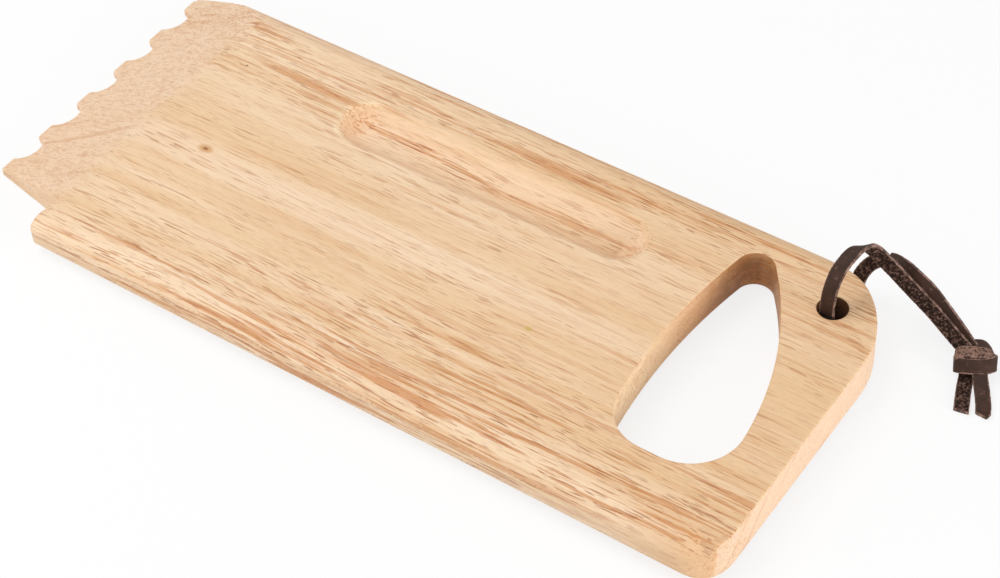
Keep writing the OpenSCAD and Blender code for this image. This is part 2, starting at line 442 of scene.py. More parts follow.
@dataclass(frozen=True)
class WoodFinish:
    """Bare sanded hardwood: pale bands, brown streaks made of dashes, and open pores.

    The grain runs along X. Each layer is a noise of the place, drawn out along X, so that
    the long faces show dashes and the cut ends show dots. Lengths here are in metres, but
    those of the marks and the hand hole's box are in millimetres.
    """

    pale: Colour = tone(249, 221, 189)
    honey: Colour = tone(239, 205, 164)
    amber: Colour = tone(233, 191, 144)
    end_wood: Colour = tone(240, 208, 178)
    # Paler tone of the near edge, partly painted light.
    near_wood: Colour = tone(247, 222, 194)
    # Painted shade, for the hand hole's wall and the groove.
    painted_shade: Colour = tone(214, 142, 66)
    # Painted shade at the hand hole's nose.
    nose_painted_shade: Colour = tone(134, 84, 34)
    # Painted light, for the hand hole's heel and the highlights in the groove.
    painted_light: Colour = tone(255, 232, 192)
    shade_brown: Colour = tone(74, 42, 24)
    ribbons: Figure = Figure(
        9, 210, 0.44, 0.66, tone(227, 180, 132), detail=3.0, plain=0.20, crowded=0.34
    )
    fibres: Figure = Figure(26, 1300, 0.40, 0.70, tone(204, 142, 86), plain=0.09)
    streaks: Figure = Figure(14, 400, 0.52, 0.63, tone(204, 134, 76), detail=2.0, crowded=0.9)
    lines: Figure = Figure(
        34, 1050, 0.595, 0.66, tone(204, 142, 86), plain=0.16, clumped=0.22, crowded=0.48
    )
    dashes: Figure = Figure(
        85, 1350, 0.60, 0.65, tone(170, 100, 50), plain=0.12, clumped=0.26, crowded=0.46
    )
    pores: Figure = Figure(
        190, 2000, 0.58, 0.70, tone(146, 90, 52), plain=0.12, crowded=0.20, cut=0.14, fade=0.0
    )
    speckle: Figure = Figure(210, 620, 0.47, 0.62, tone(220, 174, 132), detail=4.0, rough=0.7)
    crowds: Figure = Figure(4, 42, 0.34, 0.58, detail=2.0)
    clumps: Figure = Figure(13, 150, 0.40, 0.60, detail=2.0)
    hand_box: tuple[tuple[float, float], ...] = ((100, 104), (170, 166), (62, 60), (-60, -58))
    blade_fade: tuple[float, float] = (-0.104, -0.140)
    sway_waves: Triple = (5.0, 16.0, 16.0)
    sway: float = 0.010
    pith_y: float = 0.030
    pith_z: float = -0.085
    ring_width: float = 0.0062
    roughness: float = 0.55
    marks: tuple[Mark, ...] = (
        Mark(-101.0, -7.1, 4.8, tone(214, 160, 106)),
        Mark(-101.0, -7.1, 1.7, tone(150, 92, 54)),
        Mark(-118.2, 41.2, 0.8, tone(60, 40, 30)),
        Mark(64.0, -19.0, 2.2, tone(206, 176, 96)),
    )

    def ground(self, spot: WoodPlace) -> list[tuple[Socket, Colour]]:
        """Coats of the plain wood: bands, warmer parts, a paler near edge that is partly painted
        light, painted shade on the near corner, cut faces and rings.

        Args:
            spot: the place.

        Returns:
            Masks and colours, the lowest first.
        """
        tree, x, side = spot.tree, spot.x, spot.side
        bands = tree.noise(tree.joined(x * 2.5, spot.ring, side * 12.0), detail=3.0, rough=0.6)
        rings = tree.noise(tree.joined(x * 12.0, spot.ring * 2.0, side * 14.0))
        near = spot.across(-58, -70)
        warm = (x + spot.wander * 4.0).between(-0.02, 0.20) * (1.0 - near)
        # Mask of painted shade on the near corner by the handle end.
        corner = spot.along(130, 172) * spot.across(-56, -68) * (1.0 - spot.end)
        speckle = spot.mask(self.speckle) * spot.cut
        return [
            (bands.between(0.36, 0.66), self.honey),
            (warm * 0.45, self.amber),
            # Paler near edge, stronger towards the blade end: partly painted light.
            (near * spot.along(120, 0) * 0.4, self.near_wood),
            # Painted shade on the near corner.
            (corner * 0.7, self.ribbons.colour),
            (spot.cut * (0.7 + spot.end * 0.2), self.end_wood),
            (speckle * (0.55 - spot.end * 0.37), self.speckle.colour),
            (rings.between(0.57, 0.68) * (0.08 + spot.cut * 0.22), self.streaks.colour),
        ]

    def hollows(self, spot: WoodPlace, streaks: Socket) -> list[tuple[Socket, Colour]]:
        """Coats of painted shade and painted light on the hand hole's wall and in the groove.

        Args:
            spot: the place.
            streaks: the mask of the long streaks.

        Returns:
            Masks and colours, the lowest first.
        """
        hole, reach = spot.hole, spot.from_groove()
        rim = reach.between(0.0112, 0.0128) * reach.between(0.0152, 0.0138)
        dip = reach.between(0.0124, 0.0100) * spot.facing[0].between(0.04, 0.55)
        well = reach.between(0.0122, 0.0080)
        gleam = well * spot.across(43, 46) * spot.along(45, -10)
        return [
            # Painted shade on the hand hole's wall, darkest towards the nose, and painted light
            # towards its heel.
            (hole * spot.across(-30, 46) * 0.46, self.painted_shade),
            (hole * spot.across(24, 52) * 0.74, self.nose_painted_shade),
            (hole * spot.across(30, -16) * 0.5, self.painted_light),
            # Painted shade in the groove: on its end wall that faces +X and, less, over its floor.
            (dip * 0.24 + well * 0.09, self.painted_shade),
            # Painted highlight on the groove's rim at its blade end.
            (rim * spot.along(-46, -60) * 0.5, self.painted_light),
            # Painted highlight in streaks on the groove's far wall.
            (gleam * streaks * 0.75, self.painted_light),
        ]

    def build(self, board: "Board") -> bpy.types.Material:
        """Makes the wood material.

        Args:
            board: the board, whose sizes place the masks.

        Returns:
            The material.
        """
        tree = ShaderTree(bpy.data.materials.new("pale_hardwood"))
        spot = WoodPlace(tree, self, board)
        figures = (self.ribbons, self.fibres, self.streaks, self.lines, self.dashes, self.pores)
        masks = [spot.mask(figure) for figure in figures]
        streaks, dashes, pores = masks[2], masks[4], masks[5]
        coats = self.ground(spot) + self.hollows(spot, streaks)
        for mask, figure in zip(masks, figures):
            coats.append((mask * spot.strength(figure), figure.colour))
        coats.append((spot.bore * 0.85, self.shade_brown))
        upper = spot.z.between(0.004, 0.008)
        for mark in self.marks:
            away = spot.away(mark.x, mark.y, squash=1.6) / MM
            near = away.between(mark.radius, mark.radius * 0.35)
            coats.append((near * upper * 0.85, mark.colour))
        colour = self.pale
        for share, over in coats:
            colour = tree.mixed(share, colour, over)
        relief = 1.0 - (dashes * 0.5 + pores * 0.5)
        return tree.shade(
            Base_Color=colour,
            Roughness=self.roughness,
            Specular_IOR_Level=0.3,
            Normal=tree.bump(relief, 0.00010, 0.5),
        )


class LeatherFace(Enum):
    """The faces of a leather strip: grain, flesh, raw edge, and flesh with more lint and painted
    light, for a flesh side that faces up.
    """

    GRAIN = "leather_grain"
    FLESH = "leather_flesh"
    EDGE = "leather_edge"
    LIT_FLESH = "leather_pulled"


@dataclass(frozen=True)
class LeatherFinish:
    """Dark brown leather, with smooth, rough and raw faces."""

    grain: Colour = tone(67, 45, 35)
    flesh: Colour = tone(40, 27, 22)
    fluff: Colour = tone(158, 124, 108)
    edge: Colour = tone(164, 128, 114)

    def build(self, face: LeatherFace) -> bpy.types.Material:
        """Makes one of the leather materials.

        Args:
            face: the face of the strip.

        Returns:
            The material.
        """
        tree = ShaderTree(bpy.data.materials.new(face.value))
        place = tree.node("ShaderNodeTexCoord", output="Object")
        cloud = tree.noise(place, scale=160.0, detail=3.0)
        fine = tree.noise(place, scale=1400.0, detail=4.0, rough=0.6)
        if face is LeatherFace.GRAIN:
            dark = tuple(0.62 * channel for channel in self.grain)
            colour = tree.mixed(cloud.between(0.35, 0.7), dark, self.grain)
            scuffs = tree.noise(place, scale=520.0, detail=5.0, rough=0.7).between(0.58, 0.72)
            colour = tree.mixed(scuffs * 0.35, colour, self.edge)
            return tree.shade(
                Base_Color=colour, Roughness=0.6, Specular_IOR_Level=0.2,
                Normal=tree.bump(fine, 0.00010, 0.5),
            )
        if face in (LeatherFace.FLESH, LeatherFace.LIT_FLESH):
            # The lit copy of the flesh has more and lighter lint: painted light on the knot's
            # upward-facing shelf.
            lit_flesh = face is LeatherFace.LIT_FLESH
            tufts = tree.noise(place, scale=900.0, detail=6.0, rough=0.8)
            patch = tree.noise(place, scale=260.0, detail=3.0).between(0.35, 0.65)
            start = 0.40 if lit_flesh else 0.49
            lint = tufts.between(start, start + 0.12) * ((0.75 if lit_flesh else 0.40) + patch * 0.25)
            colour = tree.mixed(lint, self.flesh, self.fluff)
            return tree.shade(
                Base_Color=colour, Roughness=0.95, Specular_IOR_Level=0.1,
                Normal=tree.bump(tufts, 0.0004, 0.9),
            )
        worn = tree.noise(place, scale=420.0, detail=4.0, rough=0.7).between(0.40, 0.62)
        colour = tree.mixed(worn * 0.85, self.grain, self.edge)
        return tree.shade(
            Base_Color=colour, Roughness=0.8, Normal=tree.bump(fine, 0.00015, 0.6)
        )


# Mesh helpers

def unit(vector: Points) -> Points:
    """The vector, or each row of vectors, at length 1."""
    return vector / np.linalg.norm(vector, axis=-1, keepdims=True)


def make_piece(
    name: str,
    verts: Points,
    faces: Sequence[Sequence[int]],
    materials: Sequence[bpy.types.Material],
    face_material: Optional[Sequence[int]] = None,
    crease: float = 40.0,
) -> bpy.types.Object:
    """Makes a smooth-shaded mesh object from points in millimetres.

    Args:
        name: the piece's name.
        verts: points in millimetres.
        faces: vertex numbers of each face.
        materials: the materials of its slots.
        face_material: the slot of each face, or none where there is one slot.
        crease: angle in degrees past which an edge is sharp.

    Returns:
        The new object.
    """
    mesh = bpy.data.meshes.new(name)
    mesh.from_pydata((np.asarray(verts, float) * MM).tolist(), [], [list(f) for f in faces])
    for material in materials:
        mesh.materials.append(material)
    if face_material is not None:
        mesh.polygons.foreach_set("material_index", np.asarray(face_material, np.int32))
    mesh.shade_smooth()
    mesh.set_sharp_from_angle(angle=math.radians(crease))
    mesh.validate()
    mesh.update()
    piece = bpy.data.objects.new(name, mesh)
    bpy.context.scene.collection.objects.link(piece)
    return piece


def arc(centre: Sequence[float], radius: float, start: float, stop: float, step: float) -> Run:
    """Points of an arc in the plan, with both its ends.

    Args:
        centre: its centre.
        radius: its radius.
        start: its first angle in degrees.
        stop: its last angle in degrees.
        step: the longest step between points, in millimetres.

    Returns:
        Its points.
    """
    count = max(2, math.ceil(abs(math.radians(stop - start)) * radius / step))
    angles = np.radians(np.linspace(start, stop, count + 1))
    return [
        (centre[0] + radius * math.cos(a), centre[1] + radius * math.sin(a)) for a in angles
    ]


def bearing(start: Sequence[float], stop: Sequence[float]) -> float:
    """Direction from one point of the plan to another, in degrees."""
    return math.degrees(math.atan2(stop[1] - start[1], stop[0] - start[0]))


def after(angle: float, start: float) -> float:
    """The same angle, turned on until it is past start."""
    return angle + 360 * math.ceil((start - angle) / 360)


def line(start: Sequence[float], stop: Sequence[float], step: float) -> Run:
    """Points of a straight line in the plan, with both its ends.

    Args:
        start: its first point.
        stop: its last point.
        step: the longest step between points, in millimetres.

    Returns:
        Its points.
    """
    count = max(1, math.ceil(math.dist(start, stop) / step))
    return [
        (start[0] + (stop[0] - start[0]) * i / count, start[1] + (stop[1] - start[1]) * i / count)
        for i in range(count + 1)
    ]


def soft_least(first: Points, second: Points, width: float) -> Points:
    """The lower of two heights, with the crease between them rounded over a height of width."""
    share = np.clip(0.5 + 0.5 * (second - first) / width, 0, 1)
    return second * (1 - share) + first * share - width * share * (1 - share)


def dome(out: Points, radius: float) -> Points:
    """Height of a round over its centre, at distances out from it."""
    return np.sqrt(np.maximum(radius**2 - np.maximum(out, 0) ** 2, 0))


@dataclass
class Loop:
    """A closed outline in the plan, with the radius that rounds each point's rims."""

    points: Points
    top_round: Points
    base_round: Points

    def inward(self) -> Points:
        """Directions into the wood, which lies to the left of the loop's run.

        Returns:
            A unit vector at each point.
        """
        after_point = np.roll(self.points, -1, axis=0) - self.points
        before = self.points - np.roll(self.points, 1, axis=0)
        left = unit(np.stack([-after_point[:, 1], after_point[:, 0]], axis=1))
        left = left + unit(np.stack([-before[:, 1], before[:, 0]], axis=1))
        return unit(left)


# The board

@dataclass(frozen=True)
class MeshSteps:
    """Longest steps between points of the board's mesh, in millimetres.

    Points of an outline closer than `merge` become one, and others keep `clear` from it.
    The far edge is followed closely over `blade_run` from its tooth. The plain grid keeps
    `edge_gap` from the long edges, `end_gap` from the ends and `scoop_gap` from the groove.
    Rims over `least_rim` get rings of points, and one more ring lies `behind` each rim.
    """

    ease: float = 0.35
    gap: float = 0.5
    blade: float = 1.0
    horn: float = 0.3
    notch: float = 0.8
    edge: float = 2.5
    near_corner: float = 0.9
    end: float = 1.6
    far_corner: float = 1.2
    grip: float = 0.9
    bow: float = 1.5
    hang: float = 0.6
    moulding: float = 2.7
    face: float = 2.6
    base: float = 4.0
    scoop: float = 1.3
    scoop_side: float = 2.2
    roll: float = 1.1
    crease: float = 0.8
    merge: float = 0.05
    clear: float = 0.02
    least_rim: float = 0.12
    behind: float = 0.5
    blade_run: float = 18.0
    edge_gap: float = 13.0
    end_gap: float = 1.2
    scoop_gap: float = 2.6


@dataclass
class Board:
    """The board: its sizes in millimetres, its mesh and its wood."""

    length: float = 354.0
    width: float = 152.0
    thickness: float = 18.0
    top_round: float = 16.0
    top_reach: float = 12.5
    nose_round: float = 4.0
    under_round: float = 7.0
    far_corner: float = 45.0
    near_corner: float = 17.0
    roll_end: float = 64.0
    roll_blend: float = 22.0
    tip: float = 3.0
    bevel: float = 46.0
    blend: float = 50.0
    gap: float = 7.2
    tooth: float = 9.3
    end_tooth: float = 9.1
    gaps: int = 5
    tooth_ease: float = 1.5
    notch_in: float = 44.0
    notch_up: float = 17.2
    notch_turn: float = 11.0
    groove_length: float = 145.0
    groove_width: float = 25.0
    groove_depth: float = 7.0
    groove_in: float = 36.7
    groove_back: float = 98.0
    nose: Triple = (119.3, 53.0, 7.6)
    heel: Triple = (128.3, -25.4, 19.1)
    grip: Triple = (136.9, -23.4, 21.1)
    bows: Triple = (250.0, 260.0, 148.0)
    hang: Triple = (154.0, 50.2, 6.0)
    end_rim: float = 0.9
    blade_rim: float = 0.6
    notch_rim: float = 0.6
    hole_rim: float = 0.6
    base_rim: float = 0.4
    crease_blend: float = 1.0
    rim_turns: tuple[float, ...] = (18, 34, 50, 66, 80)
    crease_rows: tuple[float, ...] = (-1.6, -0.8, -0.3, 0.1, 0.5)
    scoop_rings: tuple[float, ...] = (
        2.0, 1.3, 0.8, 0.4, 0.1, -0.2, -0.6, -1.1, -1.8, -2.7, -3.8, -5.2, -7.0, -9.0, -11.0
    )
    steps: MeshSteps = MeshSteps()
    finish: WoodFinish = field(default_factory=WoodFinish)

    def __post_init__(self) -> None:
        """Works out the places that follow from the sizes."""
        self.x_tip = -self.length / 2
        self.x_end = self.length / 2
        self.y_far = self.width / 2
        self.y_near = -self.width / 2
        self.z_face = self.thickness / 2
        self.z_base = -self.thickness / 2
        self.slope = (self.thickness - self.tip) / self.bevel
        self.blend_x = self.x_tip + self.bevel + self.blend * math.tan(math.atan(self.slope) / 2)
        drop = math.sqrt(
            (self.top_round - self.nose_round) ** 2 - (self.top_reach - self.nose_round) ** 2
        )
        self.nose_z = self.z_face - self.top_round + drop
        self.nose_turn = bearing(
            (self.y_far - self.top_reach, self.z_face - self.top_round),
            (self.y_far - self.nose_round, self.nose_z),
        )
        half = self.groove_width / 2
        self.scoop = (half**2 + self.groove_depth**2) / (2 * self.groove_depth)
        self.groove_x = self.x_end - self.groove_back - self.groove_length / 2
        self.groove_y = self.y_far - self.groove_in
        self.groove_half = (self.groove_length - self.groove_width) / 2

    def bevel_height(self, x: Points) -> Points:
        """Height of the bevel and of the face that it blends into.

        Args:
            x: places along the board.

        Returns:
            The height at each.
        """
        plane = self.z_base + self.tip + (x - self.x_tip) * self.slope
        start = self.blend_x - self.blend * math.sin(math.atan(self.slope))
        back = np.clip(self.blend_x - x, 0, self.blend * 0.99)
        rounded = self.z_face - self.blend + np.sqrt(self.blend**2 - back**2)
        return np.where(x < start, plane, rounded)

    def moulded_height(self, y: Points) -> Points:
        """Height of the moulded upper face.

        Args:
            y: places across the board.

        Returns:
            The height at each.
        """
        out = np.abs(y) - (self.y_far - self.top_reach)
        broad = self.z_face - self.top_round + dome(out, self.top_round)
        nose_out = np.abs(y) - (self.y_far - self.nose_round)
        nose = self.nose_z + dome(nose_out, self.nose_round)
        switch = (
            self.y_far - self.nose_round
            + self.nose_round * math.cos(math.radians(self.nose_turn))
        )
        return np.where(np.abs(y) > switch, nose, broad)

    def base_height(self, y: Points) -> Points:
        """Height of the underside, with its moulded lower edges.

        Args:
            y: places across the board.

        Returns:
            The height at each.
        """
        out = np.abs(y) - (self.y_far - self.under_round)
        return self.z_base + self.under_round - dome(out, self.under_round)

    def groove_reach(self, points: Points) -> Points:
        """Distance of plan points from the scoop's middle line."""
        past = np.maximum(np.abs(points[:, 0] - self.groove_x) - self.groove_half, 0)
        return np.hypot(past, points[:, 1] - self.groove_y)

    def groove_height(self, points: Points) -> Points:
        """Height of the scooped groove, which rises past the face outside it.

        Args:
            points: plan points.

        Returns:
            The height at each.
        """
        reach = np.minimum(self.groove_reach(points), self.scoop * 0.985)
        floor = self.z_face - self.groove_depth + self.scoop
        return floor - np.sqrt(self.scoop**2 - reach**2)

    def top_height(self, points: Points) -> Points:
        """Height of the upper side before its rims are rounded.

        Args:
            points: plan points.

        Returns:
            The height at each.
        """
        moulded = self.moulded_height(self.rolled(points))
        bevel = self.bevel_height(points[:, 0])
        edge = np.clip((self.y_far - np.abs(points[:, 1])) / 2, 0, 1)
        hard = np.minimum(moulded, bevel)
        face = hard + (soft_least(moulded, bevel, self.crease_blend) - hard) * edge
        return soft_least(face, self.groove_height(points), self.crease_blend)

    def rolled(self, points: Points) -> Points:
        """Y that the upper moulding follows, as it rolls round the near corner and stops.

        Args:
            points: plan points.

        Returns:
            The Y to read the moulding at, for each.
        """
        over = np.maximum(points[:, 0] - (self.x_end - self.near_corner), 0)
        out = np.maximum(self.y_near + self.near_corner - points[:, 1], 0)
        turn = np.degrees(np.arctan2(over, np.maximum(out, 1e-6)))
        share = np.clip((self.roll_end - turn) / self.roll_blend, 0, 1)
        more = (np.hypot(over, out) - out) * share**2 * (3 - 2 * share)
        return points[:, 1] - np.where(out > 0, more, 0)

    def blade_corner(self, x: float) -> float:
        """Y of the far edge where the bevel's plane runs out through the lower moulding.

        Args:
            x: a place along the board.

        Returns:
            The edge's Y there.
        """
        height = float(self.bevel_height(np.array([x]))[0])
        centre = self.z_base + self.under_round
        if height >= centre:
            return self.y_far
        return self.y_far - self.under_round + math.sqrt(
            self.under_round**2 - (centre - height) ** 2
        )

    def outline(self) -> Loop:
        """Outline of the board, with its teeth, horn and notch.

        Returns:
            The loop, anticlockwise.
        """
        points: Run = []
        rounds: Run = []

        def add(run: Run, top: float, base: float) -> None:
            """Adds a run of points.

            Args:
                run: the points, of which one at the last place is left out.
                top: radius of their upper rims.
                base: radius of their lower rims.
            """
            for point in run:
                if not points or math.dist(points[-1], point) > self.steps.merge:
                    points.append(point)
                    rounds.append((top, base))

        ease, gap, x_tip, steps = self.tooth_ease, self.gap, self.x_tip, self.steps
        blade = (self.blade_rim, self.base_rim)
        notch = (self.notch_rim, self.base_rim)
        moulded = (0.0, 0.0)
        corner_y = self.blade_corner(x_tip)
        add(arc((x_tip + ease, corner_y - ease), ease, 90, 180, steps.ease), *blade)
        first = self.y_far - self.end_tooth - gap
        side = math.sqrt((gap + ease) ** 2 - ease**2)
        turn = bearing((0, 0), (ease, side))
        for i in range(self.gaps):
            y = first - i * (2 * gap + self.tooth)
            add(line(points[-1], (x_tip, y + side), steps.blade), *blade)
            add(arc((x_tip + ease, y + side), ease, 180, 180 + turn, steps.ease), *blade)
            add(arc((x_tip, y), gap, turn, -turn, steps.gap), *blade)
            add(arc((x_tip + ease, y - side), ease, 180 - turn, 180, steps.ease), *blade)
        tilt = math.radians(self.notch_turn)
        inner = (x_tip + self.notch_in, self.y_near + self.notch_up)
        horn_y = inner[1] + self.notch_in * math.tan(tilt)
        back = ease * math.tan((math.pi / 2 - tilt) / 2)
        centre = (x_tip + ease, horn_y + back)
        add(line(points[-1], (x_tip, centre[1]), steps.blade), *blade)
        add(arc(centre, ease, 180, 270 - self.notch_turn, steps.horn), *blade)
        add(line(points[-1], inner, steps.blade), *notch)
        foot = (inner[0] - self.notch_up * math.tan(tilt), self.y_near)
        back = ease * math.tan((math.pi / 2 + tilt) / 2)
        centre = (foot[0] + back, self.y_near + ease)
        foot = (centre[0] - ease * math.cos(tilt), centre[1] + ease * math.sin(tilt))
        add(line(inner, foot, steps.notch), *notch)
        add(arc(centre, ease, 180 - self.notch_turn, 270, steps.horn), *notch)
        centre = (self.x_end - self.near_corner, self.y_near + self.near_corner)
        add(line(points[-1], (centre[0], self.y_near), steps.edge), *moulded)
        ends = (self.end_rim, self.end_rim)
        add(arc(centre, self.near_corner, 270, 360, steps.near_corner), *ends)
        centre = (self.x_end - self.far_corner, self.y_far - self.far_corner)
        add(line(points[-1], (self.x_end, centre[1]), steps.end), *ends)
        add(arc(centre, self.far_corner, 0, 90, steps.far_corner), *ends)
        run = x_tip + ease + steps.blade_run
        add(line(points[-1], (run, self.y_far), steps.edge), *moulded)
        for x in np.linspace(run - 1, x_tip + ease + 0.6, 24):
            add([(float(x), self.blade_corner(float(x)))], *moulded)
        radii = np.array(rounds)
        smoothings = 14
        for _ in range(smoothings):
            radii = (np.roll(radii, 1, axis=0) + 2 * radii + np.roll(radii, -1, axis=0)) / 4
        return Loop(np.array(points), radii[:, 0], radii[:, 1])

    def hand_loop(self) -> Loop:
        """Outline of the hand hole: three corner rounds joined by three bows.

        Returns:
            The loop, clockwise, so that the wood is on its left.
        """
        corners = [self.nose, self.heel, self.grip]

        def bow_centre(a: Triple, b: Triple, radius: float) -> tuple[float, float]:
            """Finds the bow that touches two corner circles from outside them.

            Args:
                a: the first corner's centre and radius.
                b: the second corner's centre and radius.
                radius: the bow's radius.

            Returns:
                The bow's centre.
            """
            apart = math.dist(a[:2], b[:2])
            u = ((b[0] - a[0]) / apart, (b[1] - a[1]) / apart)
            m = (apart**2 + (radius - a[2]) ** 2 - (radius - b[2]) ** 2) / (2 * apart)
            h = math.sqrt((radius - a[2]) ** 2 - m * m)
            return (a[0] + m * u[0] - h * u[1], a[1] + m * u[1] + h * u[0])

        points: Run = []
        for i, corner in enumerate(corners):
            ahead = corners[(i + 1) % 3]
            last_bow = bow_centre(corners[i - 1], corner, self.bows[i - 1])
            bow = bow_centre(corner, ahead, self.bows[i])
            start = bearing(last_bow, corner)
            turn = after(bearing(bow, corner), start)
            stop = after(bearing(bow, ahead), turn)
            points += arc(corner, corner[2], start, turn, self.steps.grip)[:-1]
            points += arc(bow, self.bows[i], turn, stop, self.steps.bow)[:-1]
        return self.hole_loop(points[::-1])

    def hang_loop(self) -> Loop:
        """Outline of the hanging hole, clockwise."""
        return self.hole_loop(arc(self.hang, self.hang[2], 360, 0, self.steps.hang)[:-1])

    def hole_loop(self, points: Run) -> Loop:
        """A loop whose rims have the holes' radii."""
        top, base = (np.full(len(points), rim) for rim in (self.hole_rim, self.base_rim))
        return Loop(np.array(points), top, base)

    def moulding_rows(self, top: bool) -> Points:
        """Places across the board that the mouldings need points at.

        Args:
            top: whether the upper side is meant.

        Returns:
            The places, as distances from the board's middle line.
        """
        if not top:
            turns = np.radians(np.linspace(90, 8, 12))
            return self.y_far - self.under_round + self.under_round * np.cos(turns)
        turns = np.radians(np.linspace(90, self.nose_turn, 13))
        broad = self.y_far - self.top_reach + self.top_round * np.cos(turns)
        turns = np.radians(np.linspace(self.nose_turn, 12, 7))
        nose = self.y_far - self.nose_round + self.nose_round * np.cos(turns)
        return np.concatenate([broad, nose])

    def feature_points(self, top: bool) -> Points:
        """Points of a plain grid, and along the creases, the scoop and the mouldings.

        Args:
            top: whether the upper side is meant.

        Returns:
            Plan points.
        """
        steps = self.steps
        found: list[Points] = []
        xs = np.arange(self.x_tip + 1.5, self.x_end - 1, steps.moulding)
        for side in (-1, 1):
            for k, y in enumerate(self.moulding_rows(top)):
                row = xs + steps.moulding / 2 * (k % 2)
                found.append(np.stack([row, np.full(len(xs), side * y)], axis=1))
        step = steps.face if top else steps.base
        rows = np.arange(self.y_near + steps.edge_gap, self.y_far - steps.edge_gap + 1, step)
        for k, y in enumerate(rows):
            row = np.arange(self.x_tip + steps.end_gap, self.x_end - 1, step) + (k % 2) * step / 2
            found.append(np.stack([row, np.full(len(row), y)], axis=1))
        grid = np.concatenate(found)
        if not top:
            return grid
        rim = self.groove_width / 2
        grid = grid[self.groove_reach(grid) > rim + steps.scoop_gap]
        rings = [self.scoop_ring(rim + step) for step in self.scoop_rings]
        corner = (self.x_end - self.near_corner, self.y_near + self.near_corner)
        for reach in np.arange(steps.end_gap, self.near_corner - 0.8, steps.roll):
            rings.append(np.array(arc(corner, reach, 272, 356, steps.near_corner)))
        return np.concatenate([grid, *rings, self.bevel_crease()])

    def scoop_ring(self, reach: float) -> Points:
        """Ring of points at one distance from the scoop's middle line.

        Args:
            reach: the distance.

        Returns:
            Plan points.
        """
        points = []
        for side, start in ((1, -90), (-1, 90)):
            centre = (self.groove_x + side * self.groove_half, self.groove_y)
            points += arc(centre, reach, start, start + 180, self.steps.scoop)
            end = points[-1]
            far_end = (2 * self.groove_x - end[0], end[1])
            points += line(end, far_end, self.steps.scoop_side)[1:-1]
        return np.array(points)

    def bevel_crease(self) -> Points:
        """Points beside the creases where the bevel cuts the moulded far edge.

        Returns:
            Plan points.
        """
        found = []
        for x in np.arange(self.x_tip + 1.0, self.x_tip + self.bevel + 2, self.steps.crease):
            height = float(self.bevel_height(np.array([x]))[0])
            ys = np.linspace(self.y_far - self.top_reach, self.y_far - 0.05, 400)
            at = ys[int(np.argmin(np.abs(self.moulded_height(ys) - height)))]
            found += [(x, at + row) for row in self.crease_rows if at + row < self.y_far - 0.2]
        return np.array(found)

    def rounded(self, points: Points, loops: Sequence[Loop], top: bool) -> Points:
        """Loss of height of plan points near a rounded rim.

        Args:
            points: plan points.
            loops: the outlines.
            top: whether the upper rims are meant.

        Returns:
            The loss in millimetres, at least 0.
        """
        loss = np.zeros(len(points))
        for loop in loops:
            a, b = loop.points, np.roll(loop.points, -1, axis=0)
            radii = loop.top_round if top else loop.base_round
            next_radii = np.roll(radii, -1)
            run = b - a
            for start in range(0, len(points), CHUNK):
                chunk = points[start : start + CHUNK]
                share = ((chunk[:, None] - a) * run).sum(2) / (run * run).sum(1)
                share = np.clip(share, 0, 1)
                gap = np.linalg.norm(chunk[:, None] - a - share[..., None] * run, axis=2)
                near = gap.argmin(axis=1)
                rows = np.arange(len(chunk))
                t = share[rows, near]
                radius = radii[near] * (1 - t) + next_radii[near] * t
                inset = np.maximum(radius - gap[rows, near], 0)
                fall = radius - np.sqrt(np.maximum(radius**2 - inset**2, 0))
                loss[start : start + CHUNK] = np.maximum(loss[start : start + CHUNK], fall)
        return loss

    @staticmethod
    def inside(points: Points, loop: Points) -> np.ndarray:
        """Finds the plan points that lie inside a closed outline.

        Args:
            points: plan points.
            loop: the outline's points.

        Returns:
            True for each point inside.
        """
        x, y = points[:, :1], points[:, 1:]
        a, b = loop, np.roll(loop, -1, axis=0)
        crosses = (a[:, 1] > y) != (b[:, 1] > y)
        rise = np.where(b[:, 1] == a[:, 1], 1e-9, b[:, 1] - a[:, 1])
        left = x < a[:, 0] + (y - a[:, 1]) * (b[:, 0] - a[:, 0]) / rise
        return (crosses & left).sum(axis=1) % 2 == 1

    def on_wood(self, points: Points, loops: Sequence[Loop]) -> np.ndarray:
        """Finds the plan points that lie on the wood.

        Args:
            points: plan points.
            loops: the board's outline, then the outlines of its holes.

        Returns:
            True for each point inside the outline and outside the holes.
        """
        keep = self.inside(points, loops[0].points)
        for loop in loops[1:]:
            keep &= ~self.inside(points, loop.points)
        return keep

    def rim_points(self, loops: Sequence[Loop], top: bool) -> Points:
        """Points of one broad side behind its rims, in rings that follow each rim's round.

        Args:
            loops: the outlines.
            top: whether the upper side is meant.

        Returns:
            Plan points.
        """
        shares = [1 - math.cos(math.radians(turn)) for turn in self.rim_turns]
        rings = []
        for loop in loops:
            radii = loop.top_round if top else loop.base_round
            inward = loop.inward()
            curved = radii > self.steps.least_rim
            for share in shares:
                rings.append((loop.points + inward * (radii * share)[:, None])[curved])
            reach = np.maximum(radii, self.base_rim) + self.steps.behind
            rings.append(loop.points + inward * reach[:, None])
        return np.concatenate(rings)

    @staticmethod
    def rim_edges(loops: Sequence[Loop]) -> list[tuple[int, int]]:
        """Pairs of neighbouring points along the loops.

        Args:
            loops: the outlines, whose points are numbered in order.

        Returns:
            The numbers of each pair.
        """
        edges, first = [], 0
        for loop in loops:
            count = len(loop.points)
            edges += [(first + i, first + (i + 1) % count) for i in range(count)]
            first += count
        return edges

